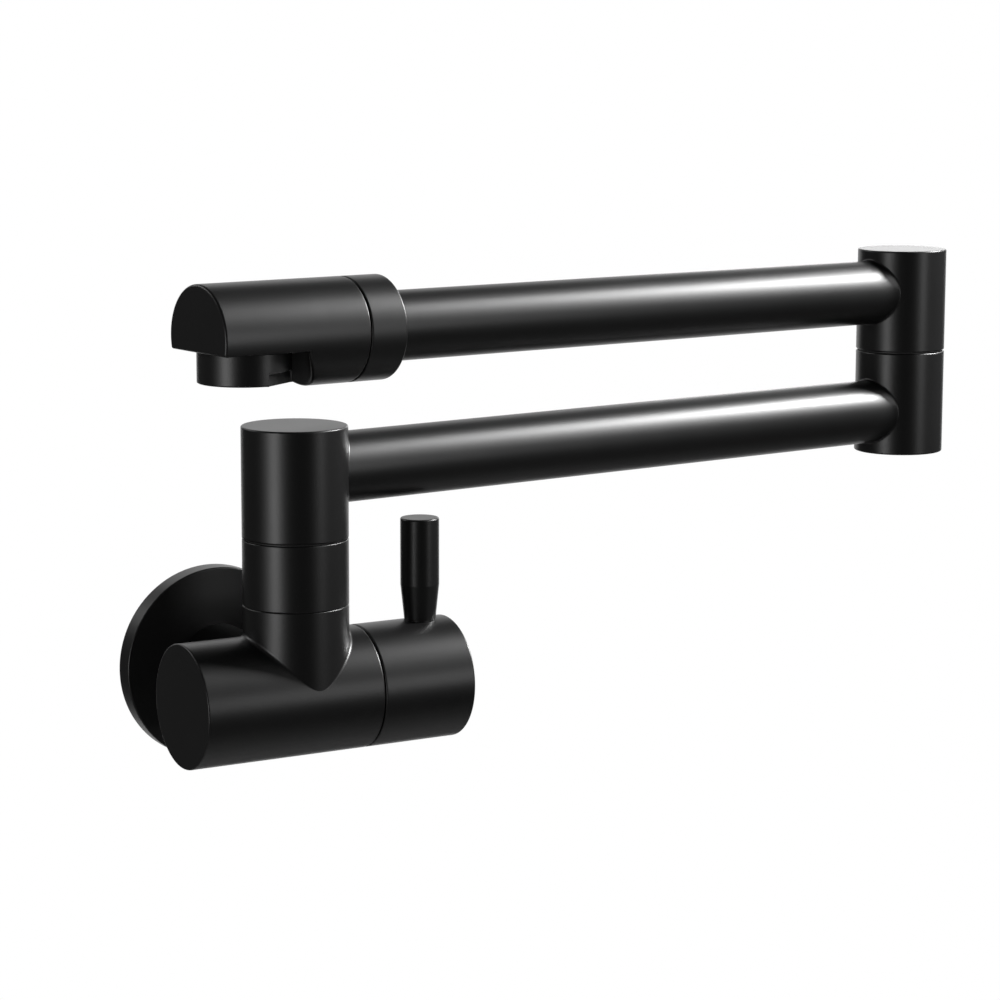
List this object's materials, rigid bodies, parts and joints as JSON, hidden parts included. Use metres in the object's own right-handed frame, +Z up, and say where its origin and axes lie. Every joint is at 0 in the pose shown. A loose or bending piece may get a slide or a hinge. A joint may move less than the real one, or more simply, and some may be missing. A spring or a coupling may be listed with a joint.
{
  "type": "wall mounted pot filler",
  "caption": "Pot filler for a wall: round valve body with a lever handle on a flange, folding swing arms stacked above it, and a spout head with a downward aerator.",
  "frame": {"origin": "on the wall plane, on the axis of the inlet nipple", "axes": "+X to the right seen from the room, +Y into the wall along the inlet, +Z up"},
  "size_m": [0.3062, 0.0932, 0.1589],
  "materials": {
    "black_coat": "matte",
    "raw_brass": "satin",
    "screw_steel": "satin",
    "rubber": "matte",
    "foam": "matte",
    "ceramic": "polished",
    "slide_plastic": "satin",
    "aerator_plastic": "satin"
  },
  "bodies": {
    "wall_body": {"valve_body": "black_coat", "wall_flange": "black_coat", "flange_o_ring": "rubber", "flange_gasket": "foam", "inlet_nipple": "raw_brass", "inlet_washer": "rubber", "cartridge_housing": "raw_brass", "cartridge_seal": "rubber", "ceramic_disc_fixed": "ceramic", "cartridge_nut": "raw_brass", "hub_slip_ring": "slide_plastic", "riser_sleeve": "black_coat"},
    "handle": {"handle_hub": "black_coat", "handle_lever": "black_coat", "hub_grub_screw": "screw_steel", "cartridge_spindle": "raw_brass", "ceramic_disc_moving": "ceramic", "spindle_o_ring": "rubber"},
    "lower_arm": {"swivel_spigot": "raw_brass", "swivel_split_ring": "screw_steel", "swivel_o_rings": "rubber", "swivel_washer": "slide_plastic", "swivel_barrel": "black_coat", "lower_arm_tube": "black_coat", "elbow_lower_barrel": "black_coat", "elbow_gland_nut": "raw_brass", "elbow_washer": "slide_plastic"},
    "upper_arm": {"elbow_post": "raw_brass", "elbow_split_ring": "screw_steel", "elbow_o_rings": "rubber", "elbow_upper_barrel": "black_coat", "upper_arm_tube": "black_coat", "spout_collar": "black_coat", "spout_o_ring": "rubber"},
    "spout": {"spout_head": "black_coat", "spout_grub_screw": "screw_steel", "aerator_washer": "rubber", "aerator_insert": "aerator_plastic", "aerator_housing": "black_coat"}
  },
  "joints": [
    {"name": "handle_turn", "type": "hinge", "parent": "wall_body", "child": "handle", "pos_m": [0.0235, -0.058, 0], "axis": [1, 0, 0], "range_deg": [0, 90]},
    {"name": "wall_swivel", "type": "hinge", "parent": "wall_body", "child": "lower_arm", "pos_m": [0.0013, -0.0604, 0.0491], "axis": [0, 0, -1], "range_deg": [-3, 196]},
    {"name": "elbow_swivel", "type": "hinge", "parent": "lower_arm", "child": "upper_arm", "pos_m": [0.25463, -0.03122, 0.09044], "axis": [0, 0, 1], "continuous": true},
    {"name": "spout_swivel", "type": "hinge", "parent": "upper_arm", "child": "spout", "pos_m": [0.02151, -0.05375, 0.11114], "axis": [-0.9954, -0.0962, 0], "range_deg": [-30, 30]}
  ]
}
